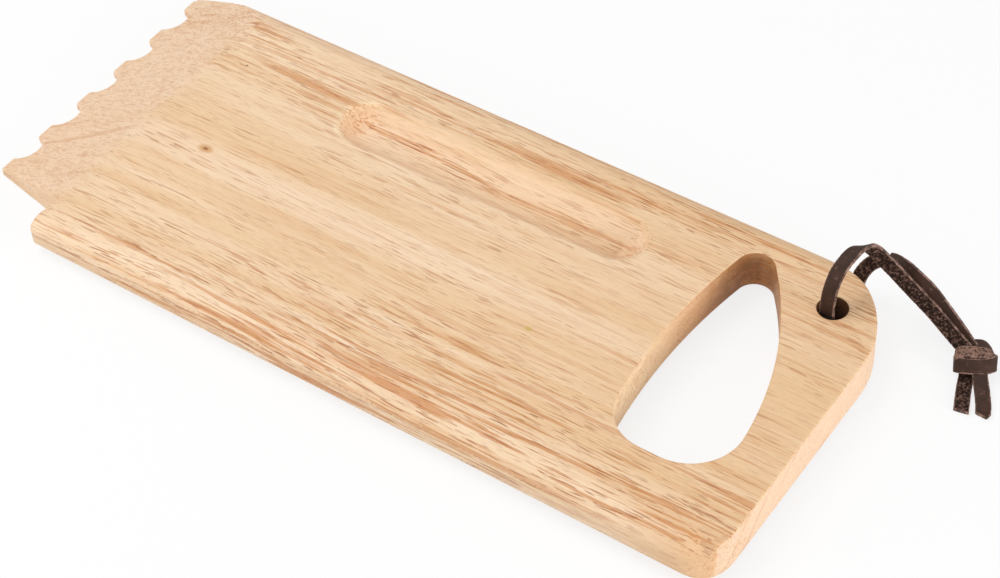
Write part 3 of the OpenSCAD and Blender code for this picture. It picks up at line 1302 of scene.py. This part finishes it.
    def side(self, loops: Sequence[Loop], top: bool) -> tuple[Points, list]:
        """One broad side of the board as a fine surface.

        Args:
            loops: the board's outline, then the outlines of its holes.
            top: whether the upper side is meant.

        Returns:
            Its points, which start with the loops' own, and its triangles.
        """
        rims = np.concatenate([loop.points for loop in loops])
        extra = np.concatenate([self.rim_points(loops, top), self.feature_points(top)])
        extra = extra[self.on_wood(extra, loops)]
        clear = np.zeros(len(extra))
        for start in range(0, len(extra), CHUNK):
            gap = np.linalg.norm(extra[start : start + CHUNK, None] - rims, axis=2)
            clear[start : start + CHUNK] = gap.min(axis=1)
        extra = extra[clear > self.steps.clear]
        points = [Vector(point) for point in np.concatenate([rims, extra]).tolist()]
        edges = self.rim_edges(loops)
        flat, _, faces, _, _, _ = delaunay_2d_cdt(points, edges, [], 0, 1e-5, False)
        plan = np.array([v[:] for v in flat])
        tris = np.array([f for f in faces if len(f) == 3])
        tris = tris[self.on_wood(plan[tris].mean(axis=1), loops)]
        loss = self.rounded(plan, loops, top)
        if top:
            height = self.top_height(plan) - loss
        else:
            height = self.base_height(plan[:, 1]) + loss
            tris = tris[:, ::-1]
        return np.column_stack([plan, height]), tris.tolist()

    def build(self) -> bpy.types.Object:
        """Makes the board's mesh and dresses it.

        Returns:
            The board.
        """
        loops = [self.outline(), self.hand_loop(), self.hang_loop()]
        top, top_tris = self.side(loops, True)
        base, base_tris = self.side(loops, False)
        shift = len(top)
        faces = top_tris + [[i + shift for i in tri] for tri in base_tris]
        faces += [[b, a, a + shift, b + shift] for a, b in self.rim_edges(loops)]
        wood = [self.finish.build(self)]
        piece = make_piece("board_wood", np.concatenate([top, base]), faces, wood, crease=32.0)
        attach(piece, "root")
        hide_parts("board")
        return piece


# The lace

GRAIN, FLESH, EDGE = range(3)


@dataclass
class Strip:
    """A flat leather strip that follows a route.

    Each row of the route is [x, y, z, turn], where turn tips the width from the first axis
    towards the second, or [x, y, z, ax, ay, az], where the last three are the width itself.
    """

    name: str
    route: Sequence[Sequence[float]]
    width: float = 5.8
    thickness: float = 1.6
    flesh_up: bool = False
    step: float = 0.45
    end_cut: Sequence[tuple[float, float]] = ()
    cut_rings: int = 9
    rough: float = 0.12
    flesh_waves: float = 1.6
    edge_waves: float = 2.2
    lean: Triple = (0.0, 0.55, 0.83)

    def section(self) -> tuple[Points, list[int]]:
        """Section as [across, through] with eased corners, and each side's face.

        Returns:
            The section's points and, for each side that starts at a point, the leather
            face that it shows: GRAIN, FLESH or EDGE.
        """
        w, t, ease = self.width / 2, self.thickness / 2, self.thickness * 0.22
        across = np.linspace(-1, 1, 12) * (w - ease)
        up, down = (FLESH, GRAIN) if self.flesh_up else (GRAIN, FLESH)
        points, faces = [], []
        for side, face in ((1, up), (-1, down)):
            for a in across * side:
                points.append((a, side * (t + 0.05 * (1 - (a / w) ** 2))))
                faces.append(face)
            faces[-1] = EDGE
            for turn in (70, 45, 20, 0, -20, -45, -70):
                r = math.radians(turn)
                drop = t - ease if turn > 0 else ease - t if turn < 0 else 0.0
                out, rise = w - ease + ease * math.cos(r), drop + ease * math.sin(r)
                points.append((side * out, side * rise))
                faces.append(EDGE)
        return np.array(points), faces

    def centreline(self) -> tuple[Points, Points]:
        """Smooth line through the route.

        Returns:
            Finely stepped points of the line, and the rest of each row at them.
        """
        knots = np.array(self.route, float)
        gaps = np.linalg.norm(np.diff(knots[:, :3], axis=0), axis=1)
        at = np.concatenate([[0], np.cumsum(gaps)])
        slopes = np.gradient(knots, at, axis=0)
        fine = np.linspace(0, at[-1], max(8, round(at[-1] / self.step)) + 1)
        k = np.clip(np.searchsorted(at, fine, side="right") - 1, 0, len(at) - 2)
        h = (at[k + 1] - at[k])[:, None]
        t = ((fine - at[k]) / (at[k + 1] - at[k]))[:, None]
        rows = (
            (2 * t**3 - 3 * t**2 + 1) * knots[k]
            + (t**3 - 2 * t**2 + t) * h * slopes[k]
            + (3 * t**2 - 2 * t**3) * knots[k + 1]
            + (t**3 - t**2) * h * slopes[k + 1]
        )
        return rows[:, :3], rows[:, 3:]

    def across(self, along: Points, rest: Points) -> Points:
        """Direction of the strip's width at each ring, square to the route.

        Args:
            along: unit vectors along the route.
            rest: the rest of the route's rows.

        Returns:
            Unit vectors.
        """
        if rest.shape[1] == 3:
            wide = rest
        else:
            angle = np.radians(rest)
            wide = np.cos(angle) * np.array([1.0, 0, 0]) + np.sin(angle) * np.array(self.lean)
        return unit(wide - (wide * along).sum(axis=1, keepdims=True) * along)

    def frayed(self, verts: Points, out: Points, across: Points, faces: Sequence[int]) -> Points:
        """Moves the flesh side and the raw edges a little in and out, as torn fibres lie.

        Args:
            verts: the points, ring by ring.
            out: each ring's direction through the strip.
            across: each ring's direction across it.
            faces: the leather face of each side.

        Returns:
            The moved points.
        """
        moved = verts.copy()
        for i, face in enumerate(faces):
            if face == GRAIN and faces[i - 1] == GRAIN:
                continue
            for r in range(len(verts)):
                at = Vector(verts[r, i]) * (self.flesh_waves if face == FLESH else self.edge_waves)
                push = (noise.noise(at) + 0.5 * noise.noise(at * 2.7)) * self.rough
                side = out[r] * (1 if self.flesh_up else -1)
                moved[r, i] += push * (side if face == FLESH else across[r])
        return moved

    def build(self, materials: Sequence[bpy.types.Material]) -> bpy.types.Object:
        """Makes the strip's mesh.

        Args:
            materials: the grain, flesh and edge materials.

        Returns:
            The strip.
        """
        centre, rest = self.centreline()
        along = unit(np.gradient(centre, axis=0))
        across = self.across(along, rest)
        out = np.cross(along, across)
        section, faces = self.section()
        count, rings = len(section), len(centre)
        verts = (
            centre[:, None]
            + section[None, :, :1] * across[:, None]
            + section[None, :, 1:] * out[:, None]
        )
        if self.end_cut:
            places, reach = zip(*self.end_cut)
            grow = np.interp(section[:, 0] / self.width * 2, places, reach)
            for k in range(self.cut_rings):
                verts[-1 - k] += (grow * (1 - k / self.cut_rings))[:, None] * along[-1 - k]
        verts = self.frayed(verts, out, across, faces)
        quads, slots = [], []
        for r in range(rings - 1):
            for i in range(count):
                j = (i + 1) % count
                here, ahead = r * count, (r + 1) * count
                quads.append([here + j, here + i, ahead + i, ahead + j])
                slots.append(faces[i])
        quads.append(list(range(count)))
        quads.append([(rings - 1) * count + i for i in range(count)][::-1])
        slots += [EDGE, EDGE]
        piece = make_piece(self.name, verts.reshape(-1, 3), quads, materials, slots, crease=60.0)
        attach(piece, "root")
        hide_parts("lace")
        return piece


@dataclass
class Knot:
    """The overhand knot: three turns of the strip about the strands.

    Its places are [right, up, front] in millimetres from its middle, in the axes that the
    eye sees it in. Each row holds a place and the direction of the strip's width.
    """

    middle: Triple = (206.4, 66.6, -6.4)
    right: Triple = (0.8234, 0.5657, -0.0448)
    up: Triple = (-0.3880, 0.6190, 0.6830)
    front: Triple = (0.4140, -0.5447, 0.7293)
    band: Route = (
        (-3.5, 1.4, -4.6, 0, 1, 0), (-6.2, 0.3, -3.6, 0, 1, 0), (-7.5, -0.3, -1.6, 0, 1, 0.1),
        (-7.6, -0.6, 0.6, 0.1, 1, 0), (-6.4, -0.9, 2.3, 0.1, 1, -0.1),
        (-3.6, -1.2, 3.2, 0, 1, -0.15), (0, -1.4, 3.4, 0, 1, -0.2),
        (3.4, -1.2, 3.2, 0, 1, -0.15), (5.6, -0.6, 2.3, 0.06, 1, -0.1),
        (6.8, 0, 0.6, 0.1, 1, 0), (6.7, 0.3, -1.6, 0.1, 1, 0.1), (5.6, 0.9, -3.6, 0, 1, 0),
        (3.5, 1.5, -4.6, 0, 1, 0),
    )
    shelf: Route = (
        (-5.2, 1, -4.2, 0, 1, -0.2), (-7.0, 2.3, -2.2, 0.2, 0.9, -0.4),
        (-6.9, 3.4, -0.2, 0.3, 0.72, -0.65), (-4.6, 3.9, 0.5, 0.12, 0.7, -0.7),
        (-1.6, 3.9, 0.6, 0, 0.7, -0.7), (1.8, 3.5, 0.6, -0.05, 0.7, -0.7),
        (4.6, 3, 0.4, -0.1, 0.7, -0.7), (6.3, 2.2, -0.6, -0.2, 0.75, -0.65),
        (6.4, 1.2, -2.6, -0.1, 0.9, -0.4), (5.2, 0.4, -4.2, 0, 1, -0.2),
    )
    arch: Route = (
        (-1.6, 4.4, -6.4, -0.1, 1, -0.3), (-0.4, 5.6, -5.4, -0.2, 0.8, -0.6),
        (1.0, 6.3, -4.4, -0.05, 0.6, -0.8), (2.8, 6.2, -3.4, 0.2, 0.6, -0.8),
        (4.1, 5.0, -2.7, 0.5, 0.4, -0.8), (4.9, 3.4, -2.3, 0.6, 0.25, -0.75),
        (5.6, 1.4, -2.2, 0.6, 0.1, -0.7),
    )

    def placed(self, rows: Sequence[Sequence[float]]) -> list[list[float]]:
        """Puts the rows of a turn in the part's own frame.

        Args:
            rows: the rows, in the knot's axes.

        Returns:
            The rows as a strip's route.
        """
        turn = np.array([self.right, self.up, self.front])
        rows = np.array(rows, float)
        return np.hstack([rows[:, :3] @ turn + np.array(self.middle), rows[:, 3:] @ turn]).tolist()

    def build(
        self,
        skins: Sequence[bpy.types.Material],
        lit_flesh: Sequence[bpy.types.Material],
    ) -> list[bpy.types.Object]:
        """Makes the knot's turns.

        Args:
            skins: the grain, flesh and edge materials.
            lit_flesh: the same, whose flesh has more lint and painted light, for a flesh side that
                faces up.

        Returns:
            Its pieces.
        """
        return [
            Strip("knot_band", self.placed(self.band)).build(skins),
            # The shelf's flesh faces up and gets the flesh copy with painted light.
            Strip("knot_shelf", self.placed(self.shelf), flesh_up=True, rough=0.2).build(lit_flesh),
            Strip("knot_arch", self.placed(self.arch), rough=0.15).build(skins),
        ]


@dataclass
class Lace:
    """The leather lace: two strands from the hanging hole, the knot and the two tails."""

    width: float = 5.8
    hole_point: Triple = (153.4, 50.4, -1.0)
    finish: LeatherFinish = field(default_factory=LeatherFinish)
    over_route: Route = (
        (153.4, 49.6, 0, 0), (153.4, 48.2, 3.8, 0), (153.4, 47, 8, 0), (153.4, 46.8, 11, 0),
        (153.4, 47.1, 14.6, 0), (153.3, 48.3, 18.6, 0), (153.4, 50.4, 22.6, 0),
        (153.8, 53.6, 26.1, 4), (154.7, 57.2, 28.6, 10), (156.2, 61.8, 30.4, 20),
        (158.1, 66, 29.5, 34), (160.4, 69.2, 25.6, 46), (163.6, 71.2, 20.6, 54),
        (168, 72.4, 15.8, 58), (172.9, 73.1, 11.1, 60), (178.5, 73.1, 7.1, 62),
        (184.9, 72.5, 3.3, 64), (191.4, 71.3, -0.5, 64), (196.5, 70.2, -3.1, 62),
        (200.7, 69.2, -5.1, 60),
    )
    under_route: Route = (
        (153.3, 51.4, -4, 0), (153.2, 52.5, -7.6, 0), (153.1, 53.6, -9.6, 0),
        (153, 56.2, -10.15, 0), (152.6, 62, -10.15, 0), (152.2, 68.4, -10.15, 0),
        (151.9, 72.6, -9.9, 0), (151.7, 74.3, -8.4, 0), (151.6, 74.8, -5.2, 0),
        (151.7, 74.6, -1.8, 0), (152.1, 75, 1.8, 2), (153.2, 76.4, 5.4, 4),
        (155.4, 78.2, 8.8, 8), (158.7, 79.4, 11.4, 14), (163.1, 79.8, 12.8, 24),
        (168.5, 78.7, 13.2, 38), (174.3, 77.5, 11.8, 54), (180.1, 76.8, 9.1, 66),
        (185.8, 75.9, 4.9, 70), (192.4, 74.5, 0.2, 68), (197.3, 73.1, -3, 64),
        (200.3, 72, -4.8, 60), (202.8, 71, -6.1, 56),
    )
    left_tail: Route = (
        (204.3, 64.8, -7.5, 0), (205.7, 59.9, -9.6, 4), (207.3, 55.3, -10, 2),
        (209.2, 50.4, -10.1, 0), (211.1, 45.8, -10.1, 0),
    )
    right_tail: Route = (
        (208.1, 65.1, -6, 0), (211.7, 59.8, -7.5, 0), (214.4, 56.2, -9.4, 0),
        (216.8, 52.3, -10.1, 0), (219, 47.7, -10.1, 0),
    )

    def build(self) -> list[bpy.types.Object]:
        """Makes the lace: its two strands, the knot and the two tails.

        Returns:
            Its pieces.
        """
        # The fourth material is the flesh with painted light.
        grain, flesh, edge, lit_flesh = (self.finish.build(face) for face in LeatherFace)
        skins = [grain, flesh, edge]
        over = Strip("lace_over", self.over_route, flesh_up=True)
        under = Strip("lace_under", self.under_route)
        left = Strip(
            "lace_tail_left", self.left_tail, flesh_up=True, end_cut=((-1, -0.3), (1, 0.9))
        )
        right = Strip(
            "lace_tail_right", self.right_tail, end_cut=((-1, -1.4), (0.5, 0.9), (1, -1.4))
        )
        ties = [tail.build(skins) for tail in (left, right)]
        ties += Knot().build(skins, [grain, lit_flesh, edge])
        pieces = []
        for strip in (over, under):
            piece = strip.build(skins)
            path = strip.centreline()[0] * MM
            pieces.append(piece)
        return pieces + ties


# The studio

@dataclass(frozen=True)
class Lamp:
    """A soft square lamp aimed at the board: its place and side in metres, and its watts."""

    name: str
    place: Triple
    size: float
    watts: float

    def build(self) -> bpy.types.Object:
        """Adds the lamp to the scene.

        Returns:
            The lamp.
        """
        data = bpy.data.lights.new(self.name, "AREA")
        data.shape = "SQUARE"
        data.size = self.size
        data.energy = self.watts
        lamp = bpy.data.objects.new(self.name, data)
        lamp.location = self.place
        lamp.rotation_euler = (-Vector(self.place)).to_track_quat("-Z", "Y").to_euler()
        bpy.context.scene.collection.objects.link(lamp)
        return lamp


@dataclass
class Studio:
    """Camera, floor, lamps and world."""

    eye: Triple = (420.113, -503.327, 672.168)
    ahead: Triple = (-0.413978, 0.544680, -0.729346)
    right: Triple = (0.823366, 0.565736, -0.044849)
    lens: float = 86.67
    floor_z: float = -11.12
    floor_tilt: float = 0.0061
    floor_bounce: float = 0.9
    floor_glow: float = 0.8
    floor_half: float = 4000.0
    floor_level_x: float = 152.0
    world_light: float = 0.48
    lamps: tuple[Lamp, ...] = (
        Lamp("key_lamp", (-0.7, -0.2, 1.6), 1.0, 13.6),
        Lamp("side_lamp", (1.4, -0.1, 0.3), 0.5, 9.6),
        Lamp("front_lamp", (-0.5, -0.75, 0.3), 0.4, 1.5),
    )

    def camera(self) -> bpy.types.Object:
        """Sets the camera where the photograph was taken from.

        Returns:
            The camera.
        """
        data = bpy.data.cameras.new("camera")
        data.lens = self.lens
        data.sensor_width = 36.0
        data.clip_start, data.clip_end = 0.05, 20.0
        eye = bpy.data.objects.new("camera", data)
        back = -Vector(self.ahead).normalized()
        side = Vector(self.right)
        side = (side - side.dot(back) * back).normalized()
        up = back.cross(side)
        turn = Matrix((side, up, back)).transposed()
        eye.matrix_world = Matrix.Translation(Vector(self.eye) * MM) @ turn.to_4x4()
        bpy.context.scene.collection.objects.link(eye)
        bpy.context.scene.camera = eye
        return eye

    def floor(self) -> bpy.types.Object:
        """Makes the pale floor that the board and its lace lie on.

        Returns:
            The floor.
        """
        tree = ShaderTree(bpy.data.materials.new("floor_paper"))
        white, grey = (
            tree.node(
                "ShaderNodeBsdfPrincipled",
                {},
                {"Base Color": (shade,) * 3, "Roughness": 0.9, "Specular IOR Level": 0.1},
            )
            for shade in (0.95, self.floor_bounce)
        )
        glow = tree.node("ShaderNodeEmission", {}, {"Color": (1.0, 1.0, 1.0), "Strength": 1.0})
        paper = tree.node("ShaderNodeMixShader", {}, {0: self.floor_glow, 1: white, 2: glow})
        surface = tree.node("ShaderNodeMixShader", {}, {0: tree.seen(), 1: grey, 2: paper})
        tree.node("ShaderNodeOutputMaterial", {}, {"Surface": surface})
        half = self.floor_half
        corners = [
            (x, y, self.floor_z - (x - self.floor_level_x) * self.floor_tilt)
            for x, y in ((-half, -half), (half, -half), (half, half), (-half, half))
        ]
        piece = make_piece("floor", np.array(corners), [[0, 1, 2, 3]], [tree.owner])
        return piece

    def world(self) -> None:
        """Gives the scene a plain white surround."""
        tree = ShaderTree(bpy.data.worlds.new("white"))
        soft, white = (
            tree.node("ShaderNodeBackground", {}, {"Color": (1.0, 1.0, 1.0), "Strength": strength})
            for strength in (self.world_light, 1.0)
        )
        surface = tree.node("ShaderNodeMixShader", {}, {0: tree.seen(), 1: soft, 2: white})
        tree.node("ShaderNodeOutputWorld", {}, {"Surface": surface})
        bpy.context.scene.world = tree.owner

    def build(self) -> None:
        """Makes the floor, the lamps and the world."""
        self.floor()
        for lamp in self.lamps:
            lamp.build()
        self.world()
        bpy.context.scene.view_settings.view_transform = "Standard"


def main() -> None:
    """Builds the camera, the lace, the board and the studio."""
    logging.basicConfig(level=logging.INFO, format="%(name)s: %(message)s")
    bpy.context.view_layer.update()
    studio = Studio()
    studio.camera()
    LOG.info("camera set")
    for piece in Lace().build():
        LOG.info("%s: %d faces", piece.name, len(piece.data.polygons))
    board = Board().build()
    LOG.info("%s: %d faces", board.name, len(board.data.polygons))
    studio.build()
    LOG.info("studio built")


if __name__ == "__main__":
    main()
